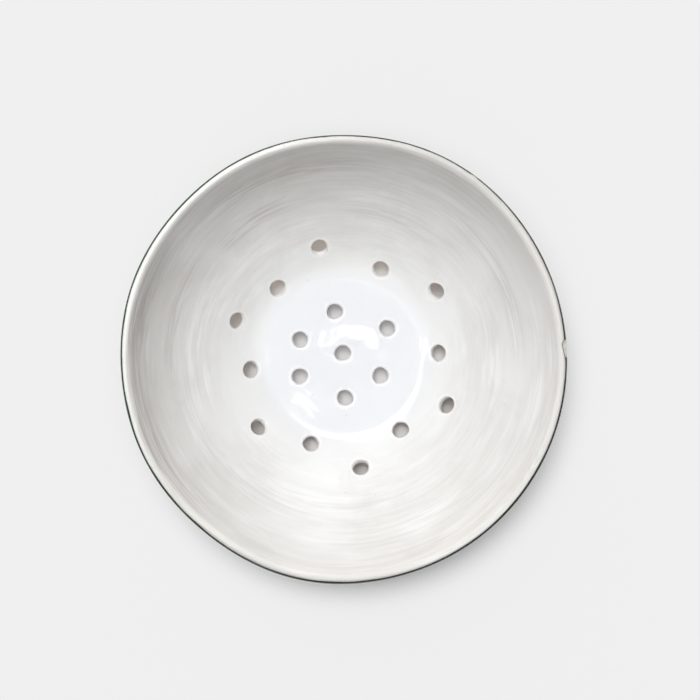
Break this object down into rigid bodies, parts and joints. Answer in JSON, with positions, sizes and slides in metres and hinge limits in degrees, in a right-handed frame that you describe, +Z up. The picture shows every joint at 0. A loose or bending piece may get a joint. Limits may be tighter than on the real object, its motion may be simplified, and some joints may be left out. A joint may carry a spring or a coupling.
{
  "type": "colander bowl",
  "caption": "Round footed ceramic bowl with drain holes through its bottom, for rinsing and serving berries.",
  "frame": {"origin": "on the table, under the middle of the foot ring", "axes": "+Z up through the mouth of the bowl, +X towards the nick in the rim"},
  "size_m": [0.19, 0.19, 0.07],
  "materials": {
    "bare_clay": "fired, unglazed, slightly pink buff stoneware",
    "white_glaze": "glossy milky white, brushed on in rings, thinner on edges",
    "dark_glaze": "glossy dark green, nearly black where thick"
  },
  "bodies": {
    "root": {"clay_bowl": "bare_clay", "foot_ring": "bare_clay", "inside_glaze": "white_glaze", "outside_glaze": "dark_glaze"}
  },
  "joints": []
}
